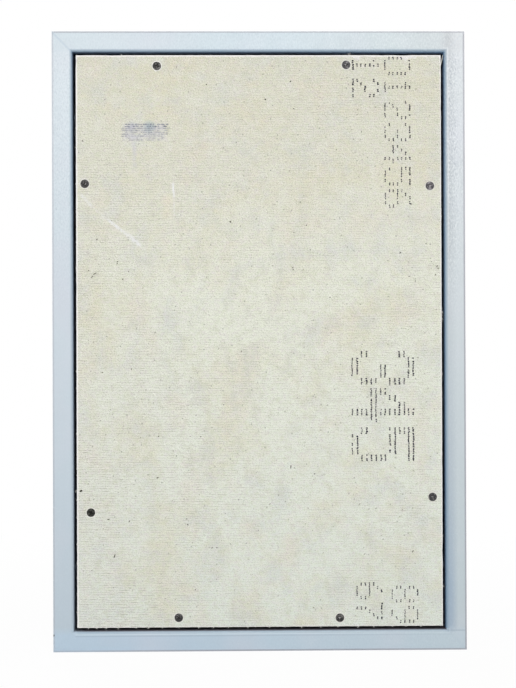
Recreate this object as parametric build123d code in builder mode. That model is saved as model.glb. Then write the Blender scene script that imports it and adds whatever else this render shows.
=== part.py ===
from build123d import *
from math import atan, degrees
import os

os.makedirs("parts", exist_ok=True)

# A tile access panel: a folded steel frame for a wall opening, and a lift-out door of
# fibre board on a square-tube frame, held by four magnetic push latches.
# X runs to the right, Y into the wall, Z up. The origin is the middle of the opening,
# in the plane of the wall's face.

# Folded frame
opening_width = 360.0
opening_height = 560.0
sheet = 1.5
flange_width = 20.0
fold_radius = 3.0
ledge_width = 25.0
fixing_radius = 2.5
fixing_end = 60.0
fixing_depth = 20.0

# Board and its even gap
gap = 3.0
board_thickness = 12.5
board_arris = 0.4

# Square-tube door frame behind the board
tube_size = 20.0
tube_wall = 1.5
tube_corner = 2.0
tube_inset = 1.0

# Board screws, with flared heads and cross recesses
screw_radius = 1.75
screw_length = 25.0
screw_point = 5.0
screw_tip_radius = 0.4
screw_head_radius = 4.1
screw_head_depth = 3.6
screw_sink = 0.35
recess_width = 1.1
recess_span = 4.8
recess_depth = 2.0
recess_floor_width = 0.7
recess_floor_span = 2.4

# Each screw was set by hand: distance along its side from the middle, distance in from
# the board's edge, and how far its cross is turned anticlockwise
top_screws = [(-98.5, 10.5, 70.0), (85.0, 9.5, 25.0)]
bottom_screws = [(-79.0, 9.5, 50.0), (77.0, 8.5, 85.0)]
left_screws = [(152.5, 8.5, 15.0), (-165.5, 13.5, 60.0)]
right_screws = [(150.0, 11.0, 40.0), (-152.0, 9.5, 75.0)]

# Travel of the push latches, inwards to let go and outwards to present the door
push_travel = 3.0
present_travel = 10.0

# Foam buffer strips on the ledge
buffer_width = 6.0
buffer_thickness = 4.5
buffer_offset = 2.0

# Pads that carry and centre the door
pad_run = 20.0
pad_depth = 12.0
pad_lead = 1.0
support_pad_end = 70.0
side_pad_end = 160.0

# Push latches: a moulded housing snaps into the ledge and holds a sprung plunger
latch_inset = 15.0
latch_end = 100.0
nose_width = 11.0
barb_reach = 0.9
barb_run = 3.0
foot_width = 18.0
foot_length = 25.0
foot_thickness = 2.5
foot_corner = 3.0
barrel_width = 14.0
barrel_length = 33.0
barrel_edge = 1.0
barrel_end_wall = 2.0
rib_thickness = 2.0
rib_reach = 4.0
rib_rise = 14.0
plunger_width = 9.0
plunger_length = 30.0
plunger_edge = 0.5
tail_radius = 2.3
tail_length = 3.0
magnet_radius = 3.4
magnet_length = 3.5
pin_radius = 0.6
pin_length = 13.0
pin_depth = 47.0
spring_wire = 0.8
spring_radius = 3.4
spring_turns = 3.0

# Clearances
running_fit = 0.05
seat_clearance = 0.3
travel_clearance = 0.5
hole_clearance = 0.1
nose_clearance = 0.2

# Depths into the wall, from the front face backwards
face_depth = -sheet
screw_front = face_depth + screw_sink
board_back = face_depth + board_thickness
tube_back = board_back + tube_size
buffer_front = tube_back + push_travel + travel_clearance
ledge_front = buffer_front + buffer_thickness
ledge_back = ledge_front + sheet
foot_back = ledge_back + foot_thickness
barrel_back = foot_back + barrel_length
bore_end = barrel_back - barrel_end_wall
plunger_tip = tube_back + seat_clearance
plunger_tail = plunger_tip + plunger_length

board_width = opening_width - 2 * gap
board_height = opening_height - 2 * gap
bore_width = plunger_width + 2 * running_fit
into_wall = Vector(0, 1, 0)

# Outward direction, distance of the opening's edge from the middle, half its run
sides = {
    "top": (Vector(0, 0, 1), opening_height / 2, opening_width / 2),
    "bottom": (Vector(0, 0, -1), opening_height / 2, opening_width / 2),
    "left": (Vector(-1, 0, 0), opening_width / 2, opening_height / 2),
    "right": (Vector(1, 0, 0), opening_width / 2, opening_height / 2),
}

screw_places = []
for along, inset, turn in top_screws:
    screw_places.append((along, board_height / 2 - inset, turn))
for along, inset, turn in bottom_screws:
    screw_places.append((along, inset - board_height / 2, turn))
for along, inset, turn in left_screws:
    screw_places.append((inset - board_width / 2, along, turn))
for along, inset, turn in right_screws:
    screw_places.append((board_width / 2 - inset, along, turn))

# Seen from the front: upper left, upper right, lower left, lower right
latch_reach = opening_width / 2 - latch_inset
latch_rise = opening_height / 2 - latch_end
latch_places = [(across * latch_reach, up * latch_rise) for up in (1, -1) for across in (-1, 1)]


def section_plane(side):
    """The plane of a bar's section: its x runs outwards from the opening's edge, its y into the wall."""
    outward, reach, _ = sides[side]
    return Plane(origin=outward * reach, x_dir=outward, z_dir=outward.cross(into_wall))


def cut_mitres(side):
    """Cut both ends of the bar in hand at 45 degrees through the opening's corners."""
    outward, reach, half_run = sides[side]
    along = outward.cross(into_wall)
    for way in (1, -1):
        corner = outward * reach + along * (way * half_run)
        split(bisect_by=Plane(origin=corner, z_dir=along * way - outward), keep=Keep.BOTTOM)


def facing_plane(depth):
    """The plane at a depth into the wall that faces out of it, with X to the right and Z up."""
    return Plane(origin=(0, depth, 0), x_dir=(1, 0, 0), z_dir=(0, -1, 0))


def cut_round(places, radius, start, end):
    """Cut round holes into the wall from one depth to another."""
    with BuildSketch(facing_plane(end)) as round_holes:
        with Locations(*places):
            Circle(radius)
    extrude(round_holes.sketch, amount=end - start, mode=Mode.SUBTRACT)


# The frame's rails: flange, web and stop ledge folded from one sheet
for side, (outward, reach, half_run) in sides.items():
    with BuildPart() as rail:
        with BuildSketch(section_plane(side)):
            with BuildLine():
                FilletPolyline(
                    (flange_width, -sheet / 2),
                    (sheet / 2, -sheet / 2),
                    (sheet / 2, ledge_front + sheet / 2),
                    (-ledge_width, ledge_front + sheet / 2),
                    radius=fold_radius - sheet / 2,
                )
            trace(line_width=sheet)
        extrude(amount=half_run + flange_width, both=True)
        cut_mitres(side)
        if side in ("left", "right"):
            here = [(x, z) for x, z in latch_places if x * outward.X > 0]
            with BuildSketch(facing_plane(ledge_back)):
                with Locations(*here):
                    Rectangle(nose_width + 2 * nose_clearance, nose_width + 2 * nose_clearance)
            extrude(amount=sheet, mode=Mode.SUBTRACT)
            web_middle = outward * reach + into_wall * fixing_depth
            with BuildSketch(Plane(origin=web_middle, x_dir=(0, 0, 1), z_dir=outward)):
                with GridLocations(opening_height - 2 * fixing_end, 0, 2, 1):
                    Circle(fixing_radius)
            extrude(amount=sheet, mode=Mode.SUBTRACT)
    rail.part.label = f"frame_{side}_rail"
    export_step(rail.part, f"parts/{rail.part.label}.step")

# Foam strips on the ledge, which the door meets when it is pushed in
for side, (outward, reach, half_run) in sides.items():
    with BuildPart() as buffer:
        with BuildSketch(section_plane(side)):
            with Locations((-buffer_offset - buffer_width / 2, buffer_front + buffer_thickness / 2)):
                Rectangle(buffer_width, buffer_thickness)
        extrude(amount=half_run, both=True)
        cut_mitres(side)
    buffer.part.label = f"buffer_strip_{side}"
    export_step(buffer.part, f"parts/{buffer.part.label}.step")

# Pads on the webs: two that carry the door, four that centre it
pad_front = board_back + push_travel + travel_clearance
pad_height = gap + tube_inset - seat_clearance
pads = {}
for name, way in (("left", 1), ("right", -1)):
    pads[f"support_pad_{name}"] = ("bottom", way * (opening_width / 2 - support_pad_end))
for side in ("left", "right"):
    for name, way in (("upper", 1), ("lower", -1)):
        up = way if side == "right" else -way
        pads[f"side_pad_{side}_{name}"] = (side, up * (opening_height / 2 - side_pad_end))
for name, (side, along) in pads.items():
    with BuildPart() as pad:
        with BuildSketch(section_plane(side).offset(along)):
            with BuildLine():
                Polyline(
                    (0, pad_front),
                    (pad_lead - pad_height, pad_front),
                    (-pad_height, pad_front + pad_lead),
                    (-pad_height, pad_front + pad_depth),
                    (0, pad_front + pad_depth),
                    close=True,
                )
            make_face()
        extrude(amount=pad_run / 2, both=True)
    pad.part.label = name
    export_step(pad.part, f"parts/{name}.step")

# The board, with a flared hole for each screw
head_slope = (screw_head_radius - screw_radius) / screw_head_depth
with BuildPart() as board:
    with BuildSketch(facing_plane(board_back)):
        Rectangle(board_width, board_height)
    extrude(amount=board_thickness)
    front_face = board.faces().sort_by(Axis.Y)[0]
    chamfer(front_face.edges(), board_arris)
    with Locations(facing_plane(face_depth)):
        with Locations(*[(x, z) for x, z, _ in screw_places]):
            CounterSinkHole(
                radius=screw_radius + hole_clearance,
                counter_sink_radius=screw_head_radius + hole_clearance + screw_sink * head_slope,
                counter_sink_angle=2 * degrees(atan(head_slope)),
            )
board.part.label = "board"
export_step(board.part, "parts/board.step")

# The door's square-tube rails, mitred at the corners
tube_reach = gap + tube_inset + tube_size
for side, (outward, reach, half_run) in sides.items():
    with BuildPart() as tube:
        with BuildSketch(section_plane(side)):
            with Locations((tube_size / 2 - tube_reach, board_back + tube_size / 2)):
                RectangleRounded(tube_size, tube_size, tube_corner)
                inside = tube_size - 2 * tube_wall
                Rectangle(inside, inside, mode=Mode.SUBTRACT)
        extrude(amount=half_run, both=True)
        cut_mitres(side)
        here = [(x, z) for x, z, _ in screw_places if reach - Vector(x, 0, z).dot(outward) < tube_reach]
        cut_round(here, screw_radius + hole_clearance, board_back, board_back + tube_wall)
    tube.part.label = f"door_rail_{side}"
    export_step(tube.part, f"parts/{tube.part.label}.step")

# The board's screws
with BuildPart() as screws:
    screw_end = screw_front + screw_length
    for x, z, turn in screw_places:
        with BuildSketch(Plane.XY.offset(z)):
            with BuildLine():
                Polyline(
                    (x, screw_front),
                    (x + screw_head_radius, screw_front),
                    (x + screw_radius, screw_front + screw_head_depth),
                    (x + screw_radius, screw_end - screw_point),
                    (x + screw_tip_radius, screw_end),
                    (x, screw_end),
                    close=True,
                )
            make_face()
        revolve(axis=Axis((x, 0, z), into_wall))
        with BuildSketch(facing_plane(screw_front)):
            with Locations((x, z)):
                Rectangle(recess_span, recess_width, rotation=turn)
                Rectangle(recess_width, recess_span, rotation=turn)
        with BuildSketch(facing_plane(screw_front + recess_depth)):
            with Locations((x, z)):
                Rectangle(recess_floor_span, recess_floor_width, rotation=turn)
                Rectangle(recess_floor_width, recess_floor_span, rotation=turn)
        loft(mode=Mode.SUBTRACT)
screws.part.label = "board_screws"
export_step(screws.part, "parts/board_screws.step")

# The push latches, one housing, plunger and magnet at each place
for number, (x, z) in enumerate(latch_places, start=1):
    long_plane = Plane(origin=(x, 0, z), x_dir=(0, 1, 0), z_dir=(1, 0, 0))
    with BuildPart() as housing:
        with BuildSketch(facing_plane(barrel_back)):
            with Locations((x, z)):
                Rectangle(barrel_width, barrel_width)
        extrude(amount=barrel_length)
        chamfer(housing.edges().filter_by(Axis.Y), barrel_edge)
        with BuildSketch(facing_plane(foot_back)):
            with Locations((x, z)):
                RectangleRounded(foot_width, foot_length, foot_corner)
        extrude(amount=foot_thickness)
        with BuildSketch(facing_plane(ledge_back)):
            with Locations((x, z)):
                Rectangle(nose_width, nose_width)
        extrude(amount=ledge_back - buffer_front)
        with BuildSketch(long_plane):
            with BuildLine():
                Polyline(
                    (ledge_front - barb_run, nose_width / 2),
                    (ledge_front, nose_width / 2 + barb_reach),
                    (ledge_front, nose_width / 2),
                    close=True,
                )
            make_face()
            with BuildLine():
                Polyline(
                    (foot_back, barrel_width / 2),
                    (foot_back, barrel_width / 2 + rib_reach),
                    (foot_back + rib_rise, barrel_width / 2),
                    close=True,
                )
            make_face()
            mirror(about=Plane.XZ)
        extrude(amount=rib_thickness / 2, both=True)
        with BuildSketch(facing_plane(bore_end)):
            with Locations((x, z)):
                Rectangle(bore_width, bore_width)
        extrude(amount=bore_end - buffer_front, mode=Mode.SUBTRACT)
        with BuildSketch(long_plane):
            with Locations((pin_depth, 0)):
                Circle(pin_radius + running_fit)
        extrude(amount=barrel_width / 2, both=True, mode=Mode.SUBTRACT)
    housing.part.label = f"latch_housing_{number}"
    export_step(housing.part, f"parts/{housing.part.label}.step")

    with BuildPart() as plunger:
        with BuildSketch(facing_plane(plunger_tail)):
            with Locations((x, z)):
                Rectangle(plunger_width, plunger_width)
        extrude(amount=plunger_length)
        chamfer(plunger.faces().sort_by(Axis.Y)[0].edges(), plunger_edge)
        with BuildSketch(facing_plane(plunger_tail + tail_length)):
            with Locations((x, z)):
                Circle(tail_radius)
        extrude(amount=tail_length)
        cut_round([(x, z)], magnet_radius + hole_clearance, plunger_tip, plunger_tip + magnet_length)
        with BuildSketch(long_plane):
            with Locations((pin_depth + (present_travel - push_travel) / 2, 0)):
                slot_length = present_travel + push_travel + 2 * hole_clearance
                SlotCenterToCenter(slot_length, 2 * (pin_radius + hole_clearance))
        extrude(amount=plunger_width / 2, both=True, mode=Mode.SUBTRACT)
    plunger.part.label = f"latch_plunger_{number}"
    export_step(plunger.part, f"parts/{plunger.part.label}.step")

    with BuildPart() as magnet:
        with BuildSketch(facing_plane(plunger_tip + magnet_length)):
            with Locations((x, z)):
                Circle(magnet_radius)
        extrude(amount=magnet_length)
    magnet.part.label = f"latch_magnet_{number}"
    export_step(magnet.part, f"parts/{magnet.part.label}.step")

# Pins that keep the plungers in their housings
with BuildPart() as pins:
    for x, z in latch_places:
        with BuildSketch(Plane(origin=(x, pin_depth, z), x_dir=(0, 1, 0), z_dir=(1, 0, 0))):
            Circle(pin_radius)
        extrude(amount=pin_length / 2, both=True)
pins.part.label = "latch_pins"
export_step(pins.part, "parts/latch_pins.step")

# Coil springs behind the plungers, wound from square wire
with BuildPart() as springs:
    spring_start = plunger_tail + spring_wire / 2 + running_fit
    spring_end = bore_end - spring_wire / 2 - running_fit
    for x, z in latch_places:
        with BuildLine() as coil:
            Helix(
                pitch=(spring_end - spring_start) / spring_turns,
                height=spring_end - spring_start,
                radius=spring_radius,
                center=(x, spring_start, z),
                direction=(0, 1, 0),
            )
        with BuildSketch(Plane(origin=coil.line @ 0, x_dir=into_wall, z_dir=coil.line % 0)) as wire:
            Rectangle(spring_wire, spring_wire)
        sweep(wire.sketch, path=coil.line, is_frenet=True)
springs.part.label = "latch_springs"
export_step(springs.part, "parts/latch_springs.step")
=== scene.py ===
import math
import random
from itertools import product

import bmesh
import bpy
from mathutils import Matrix, Vector, noise


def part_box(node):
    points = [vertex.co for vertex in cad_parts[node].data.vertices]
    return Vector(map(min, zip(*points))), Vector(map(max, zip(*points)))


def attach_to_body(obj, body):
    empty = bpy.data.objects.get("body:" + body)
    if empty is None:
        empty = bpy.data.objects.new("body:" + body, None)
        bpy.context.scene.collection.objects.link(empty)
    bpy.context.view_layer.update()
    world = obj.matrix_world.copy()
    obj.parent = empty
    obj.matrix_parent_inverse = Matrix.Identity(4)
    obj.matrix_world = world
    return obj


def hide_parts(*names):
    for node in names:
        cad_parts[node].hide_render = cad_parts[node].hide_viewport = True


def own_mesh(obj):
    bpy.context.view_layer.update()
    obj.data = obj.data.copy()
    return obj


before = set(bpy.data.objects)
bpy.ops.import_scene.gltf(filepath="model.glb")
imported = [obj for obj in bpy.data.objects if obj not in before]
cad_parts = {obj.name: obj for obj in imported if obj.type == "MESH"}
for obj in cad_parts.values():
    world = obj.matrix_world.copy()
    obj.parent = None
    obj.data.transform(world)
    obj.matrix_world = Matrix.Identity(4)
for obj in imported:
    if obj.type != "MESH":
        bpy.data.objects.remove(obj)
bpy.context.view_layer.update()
scene = bpy.context.scene
mm = 0.001


# Small helpers for meshes

# A mesh object; without a material it stays out of the scene, as a model that a tree copies
def addPiece(name, points, faces, material=None, smooth=False, turnOut=True):
    mesh = bpy.data.meshes.new(name)
    mesh.from_pydata([tuple(p) for p in points], [], faces)
    if turnOut:
        work = bmesh.new()
        work.from_mesh(mesh)
        bmesh.ops.recalc_face_normals(work, faces=work.faces)
        work.to_mesh(mesh)
        work.free()
    if smooth:
        mesh.shade_smooth()
    piece = bpy.data.objects.new(name, mesh)
    if material:
        mesh.materials.append(material)
        scene.collection.objects.link(piece)
    return piece


def settleModifiers(piece):
    bpy.context.view_layer.update()
    shaped = piece.evaluated_get(bpy.context.evaluated_depsgraph_get())
    mesh = bpy.data.meshes.new_from_object(shaped)
    piece.modifiers.clear()
    piece.data = mesh
    return piece


def cutAway(piece, cutter, crossing=False):
    cut = piece.modifiers.new("cut", "BOOLEAN")
    cut.operation = "DIFFERENCE"
    cut.solver = "EXACT"
    cut.use_self = crossing
    cut.object = cutter
    settleModifiers(piece)
    bpy.data.objects.remove(cutter)


def attach(piece, body, slotName, *nodes):
    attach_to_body(piece, body)
    if nodes:
        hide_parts(*nodes)
    return piece


# Adds a tube through rings of points, closed by caps or, where it is looped, by its own start
def addTube(points, faces, rings, looped=False):
    base, size, count = len(points), len(rings[0]), len(rings)
    for order, ring in enumerate(rings):
        points += ring
        a = base + order * size
        b = base + (order + 1) % count * size
        if looped or order < count - 1:
            faces += [(a + k, a + (k + 1) % size, b + (k + 1) % size, b + k) for k in range(size)]
    if not looped:
        faces.append(tuple(reversed(range(base, base + size))))
        faces.append(tuple(range(len(points) - size, len(points))))


# Points and faces of a shape turned round the Y axis from (radius, depth) pairs, pole to pole
def lathe(profile, segments):
    points = [(0, profile[0][1], 0)]
    faces = []
    rings = profile[1:-1]
    for radius, depth in rings:
        for k in range(segments):
            angle = 2 * math.pi * k / segments
            points.append((radius * math.cos(angle), depth, radius * math.sin(angle)))
    points.append((0, profile[-1][1], 0))
    last = len(points) - 1
    tail = last - segments
    for k in range(segments):
        after = (k + 1) % segments
        faces.append((0, 1 + k, 1 + after))
        for a in range(1, tail, segments):
            b = a + segments
            faces.append((a + k, b + k, b + after, a + after))
        faces.append((tail + k, last, tail + after))
    return points, faces


# Small helpers for node trees; a sum finds its tree by the sockets that it is given

# A colour written as 0 to 255, as a colour that the shaders take
def shade(red, green, blue):
    values = []
    for part in (red, green, blue):
        share = part / 255
        values.append(share / 12.92 if share <= 0.04045 else ((share + 0.055) / 1.055) ** 2.4)
    return (*values, 1)


# Adds a node and returns its outputs
def addNode(tree, kind, inputs=None, **settings):
    node = tree.nodes.new(kind)
    for key, value in settings.items():
        setattr(node, key, value)
    for key, value in (inputs or {}).items():
        if isinstance(value, bpy.types.NodeSocket):
            tree.links.new(value, node.inputs[key])
        else:
            node.inputs[key].default_value = value
    return node.outputs


def treeOf(*values):
    return next(value.id_data for value in values if isinstance(value, bpy.types.NodeSocket))


def calculate(operation, *values):
    return addNode(treeOf(*values), "ShaderNodeMath", dict(enumerate(values)), operation=operation)[0]


def chain(operation, values):
    result = values[0]
    for value in values[1:]:
        result = calculate(operation, result, value)
    return result


def times(*values):
    return chain("MULTIPLY", values)


def plus(*values):
    return chain("ADD", values)


def largest(*values):
    return chain("MAXIMUM", values)


def minus(first, second):
    return calculate("SUBTRACT", first, second)


def distance(value):
    return calculate("ABSOLUTE", value)


def apart(first, second):
    return distance(minus(first, second))


def calculateVector(operation, first, second):
    node = addNode(treeOf(first, second), "ShaderNodeVectorMath", {0: first, 1: second}, operation=operation)
    return node["Value" if operation in ("DISTANCE", "DOT_PRODUCT") else "Vector"]


def fade(value, start, end, low=0, high=1):
    inputs = {"Value": value, "From Min": start, "From Max": end, "To Min": low, "To Max": high}
    return addNode(treeOf(value), "ShaderNodeMapRange", inputs)[0]


# A fade over a length that is written in millimetres
def zone(value, start, end, low=0, high=1):
    return fade(value, start * mm, end * mm, low, high)


# Mixes two colours, each a socket or written as 0 to 255
def blend(share, first, second):
    first, second = (shade(*tone) if isinstance(tone, tuple) else tone for tone in (first, second))
    inputs = {0: share, 6: first, 7: second}
    return addNode(treeOf(share), "ShaderNodeMix", inputs, data_type="RGBA")[2]


# Lays tints over a colour one after another, each with its own share
def cover(body, *layers):
    for share, tint in layers:
        body = blend(share, body, tint)
    return body


def noiseAt(place, scale, detail=2, roughness=0.5):
    inputs = {"Vector": place, "Scale": scale, "Detail": detail, "Roughness": roughness}
    return addNode(treeOf(place), "ShaderNodeTexNoise", inputs)[0]


def stretched(place, x, y, z):
    return addNode(treeOf(place), "ShaderNodeMapping", {"Vector": place, "Scale": (x, y, z)})[0]


def startMaterial(name, roughness, metallic=0):
    material = bpy.data.materials.new(name)
    material.use_nodes = True
    tree = material.node_tree
    shader = tree.nodes["Principled BSDF"]
    shader.inputs["Roughness"].default_value = roughness
    shader.inputs["Metallic"].default_value = metallic
    place = addNode(tree, "ShaderNodeTexCoord")["Object"]
    return material, tree, shader, place


def axesOf(tree, place):
    return addNode(tree, "ShaderNodeSeparateXYZ", {"Vector": place})


def dress(shader, body, height, depth, strength, gloss=None):
    tree = treeOf(body)
    tree.links.new(body, shader.inputs["Base Color"])
    bump = addNode(tree, "ShaderNodeBump", {"Height": height, "Distance": depth, "Strength": strength})
    tree.links.new(bump[0], shader.inputs["Normal"])
    if gloss:
        tree.links.new(gloss, shader.inputs["Roughness"])


# The object's own sizes, read from the frame

boardLow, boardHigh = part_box("board")
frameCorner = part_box("frame_top_rail")[1]
outerHalfWidth = frameCorner.x
outerHalfHeight = frameCorner.z
flangeWidth = 20 * mm
innerHalfWidth = outerHalfWidth - flangeWidth
innerHalfHeight = outerHalfHeight - flangeWidth

boardSheet = {
    "halfWidth": boardHigh.x,
    "halfHeight": boardHigh.z,
    "front": boardLow.y + 0.1 * mm,
    "back": boardHigh.y,
    "raggedStep": 0.8 * mm,
    "raggedScale": 420,
    "raggedDepth": 0.16 * mm,
    "footRaggedness": 4,
    "lowLeftRaggedness": 2,
    "lowLeftTop": -120 * mm,
    "bite": 0.9 * mm,
    "biteArris": 0.6 * mm,
    "arris": 0.14 * mm,
    "arrisSpread": 0.24 * mm,
    "ribPitch": 1.65 * mm,
}

# The places are in millimetres, with each cross's turn in degrees
screwSpots = {
    "places": [
        (-98.5, 266.5, 70), (85, 267.5, 25), (-79, -267.5, 50), (77, -268.5, 85),
        (-168.5, 152.5, 15), (-163.5, -165.5, 60), (166, 150, 40), (167.5, -152, 75),
    ],
    "dust": [0.34, 0.83, 0.41, 0.27, 0.49, 0, 1, 0.49],
    "chalk": [0.2, 0.9, 0.3, 0.65, 0.7, 0, 1, 0.4],
    "front": boardLow.y + 0.35 * mm,
    "headRadius": 4.1 * mm,
    "headDepth": 3.6 * mm,
    "shankRadius": 1.75 * mm,
    "length": 25 * mm,
    "spare": 0.12 * mm,
    "crossReach": 2.4 * mm,
    "crossHalfWidth": 0.55 * mm,
    "crossDepth": 2 * mm,
}
screwPlaces = [(x * mm, z * mm) for x, z, _ in screwSpots["places"]]


# Materials

# Where each rail's coat begins, and the weights of its marks; lengths in millimetres
coat = {
    "footRail": (-276, -284),
    "topRail": (276, 284),
    "rightRail": (176, 186),
    "leftRail": (-170, -178),
    "greyer": 0.8,
    "cloudy": 0.35,
    "peelScale": 760,
    "peelLean": -32,
    "peelDepth": 0.55 * mm,
    "peelTones": 0.7,
    "weldHeight": -281.2 * mm,
    "knock": (-199.7 * mm, -1.5 * mm, -283.8 * mm),
}


def paintMaterial():
    s = coat
    material, tree, shader, place = startMaterial("powderCoat", 0.34)
    x, y, z = axesOf(tree, place)
    across, up = distance(x), distance(z)
    # painted shade: the coat and the right rail's tone are painted darker towards the foot (climb), standing
    # in for light that falls off downwards
    climb = zone(z, -300, 300)
    onFoot, onTop = zone(z, *s["footRail"]), zone(z, *s["topRail"])
    onRight, onLeft = zone(x, *s["rightRail"]), zone(x, *s["leftRail"])
    rightRail = times(onRight, minus(1, onFoot))
    cloud = fade(noiseAt(place, 14, 3), 0.45, 0.7)
    # the right rail's inner side falls off into shade towards its foot
    footward = zone(z, 60, -240)
    depth = fade(times(footward, footward), 0, 1, 0.37, 1)
    depth = largest(depth, zone(z, 30, 80, 0, 0.54))
    # orange peel, strongest on the right rail's inner side and in the upper half; its dimples are painted
    # with dark and bright tones, as painted shade and painted highlight
    leaning = addNode(tree, "ShaderNodeMapping", {
        "Vector": place, "Rotation": (0, math.radians(s["peelLean"]), 0), "Scale": (1, 1, 0.55),
    })[0]
    peel = noiseAt(leaning, s["peelScale"], 2, 0.55)
    calmer = times(zone(z, 272, 284, 1, 0.42), zone(x, 190, 195.5, 1, 0.45))
    peelShare = times(zone(x, -190, 190, 0.36, 0.78), zone(z, 20, 150, 0.16, 1), calmer)
    # painted shade: the top rail is painted a little darker (topTone), standing in for less light falling
    # there
    topTone = blend(zone(x, 20, 190), (198, 213, 221), (191, 200, 200))
    gapShade = blend(footward, (158, 164, 168), (142, 164, 188))
    body = cover(
        blend(climb, (188, 202, 213), (216, 226, 232)),
        (onFoot, blend(zone(x, -100, 190), (187, 206, 222), (193, 208, 217))),
        (times(onTop, zone(x, -140, -30, 0.34, 0.82)), topTone),
        (times(rightRail, s["greyer"]), blend(climb, (192, 205, 210), (212, 216, 218))),
        (times(cloud, s["cloudy"]), (210, 212, 223)),
        (times(zone(x, 192, 182), times(depth, rightRail)), gapShade),
        (times(fade(peel, 0.5, 0.7), peelShare, s["peelTones"]), (158, 168, 178)),
        (times(fade(peel, 0.48, 0.32), peelShare, s["peelTones"]), (240, 244, 247)),
    )
    # the mitre, filled and sanded, shows faintly at the upper left, and a weld at the lower right
    overWidth, overHeight = minus(across, outerHalfWidth), minus(up, outerHalfHeight)
    seam = zone(apart(minus(overHeight, overWidth), -0.6 * mm), 0.4, 2.1, 1, 0)
    faint = fade(times(onLeft, zone(z, 270, 280)), 0, 1, 0.08, 0.32)
    weld = times(zone(apart(z, s["weldHeight"]), 0.3, 1, 1, 0), onRight)
    # the rim is painted darker, as painted shade on the rounded outer edge; less so at the left, at the top
    # and at the foot's left end
    rim = zone(largest(overWidth, overHeight), -1.9, -1)
    rimLeft = zone(x, -196.5, -198.5, 0, 0.5)
    rimTop = zone(z, 296.5, 298.5, 0, 0.25)
    rimFoot = times(zone(x, -90, -170, 0, 0.45), onFoot)
    # a knock on the left edge near the foot
    knock = calculateVector("DISTANCE", place, s["knock"])
    body = cover(
        body,
        (times(seam, faint), (164, 184, 202)),
        (times(weld, 0.45), (150, 168, 184)),
        (times(rim, minus(0.88, largest(rimLeft, rimTop, rimFoot))), (158, 159, 168)),
        (zone(knock, 0.6, 1.3, 0.9, 0), (66, 70, 80)),
    )
    # the fold into the gap is painted darker, as painted shade; less so on the foot's fold, which catches the
    # light, and the left rail's painted shade thins out downwards
    inner = largest(minus(across, innerHalfWidth), minus(up, innerHalfHeight))
    atFoot = zone(z, -278.5, -279.8)
    thinned = times(zone(z, -220, 160, 0.85, 0), onLeft)
    fold = times(zone(inner, 3.6, 1.2, 0, 0.8), zone(y, 2, 1))
    foldShare = minus(1, largest(times(atFoot, 0.6), thinned))
    # a thin painted highlight where the right rail's upper part starts to fold
    line = times(zone(apart(inner, 3.8 * mm), 0.2, 0.7, 0.55, 0), zone(z, 20, 160), zone(y, -1.2, -1.4))
    body = cover(
        body,
        (times(fold, foldShare), (124, 150, 170)),
        (times(line, rightRail), (242, 245, 247)),
    )
    # and a painted highlight and a thin painted shade line along the foot's fold
    footLine = times(zone(x, -180, -178), zone(x, -20, 180, 1, 0.35), atFoot)
    for lineAt, reach, strength, tint in (
        (3.4, 0.6, 0.46, (230, 238, 244)),
        (5, 0.9, 0.3, (140, 160, 180)),
    ):
        line = zone(apart(inner, lineAt * mm), reach * 0.3, reach, strength, 0)
        body = blend(times(line, footLine), body, tint)
    # the gap's wall, painted in the gap's shade: darker deeper in, lighter towards the right and near the
    # top, reddish at the foot, and fading out between 14 and 30 mm deep
    limit = zone(y, -1, 0.6, 3.3 * mm, 0.3 * mm)
    inside = times(calculate("LESS_THAN", inner, limit), zone(y, 14, 30, 1, 0))
    litWall = largest(zone(x, 0, 170), zone(z, 277.5, 279.5, 0, 0.2))
    wall = blend(atFoot, blend(litWall, (62, 84, 112), (116, 148, 182)), (96, 86, 94))
    deepWall = blend(atFoot, (40, 56, 80), (60, 46, 50))
    wallShare = minus(1, times(thinned, 0.5))
    for start, end, weight, tint in ((-0.7, 0.8, 0.9, wall), (4, 11, 0.7, deepWall)):
        body = blend(times(inside, zone(y, start, end, 0, weight), wallShare), body, tint)
    gloss = fade(noiseAt(place, 60, 2), 0.3, 0.7, 0.3, 0.42)
    dress(shader, body, times(peel, peelShare), s["peelDepth"], 1, gloss)
    return material


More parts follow.
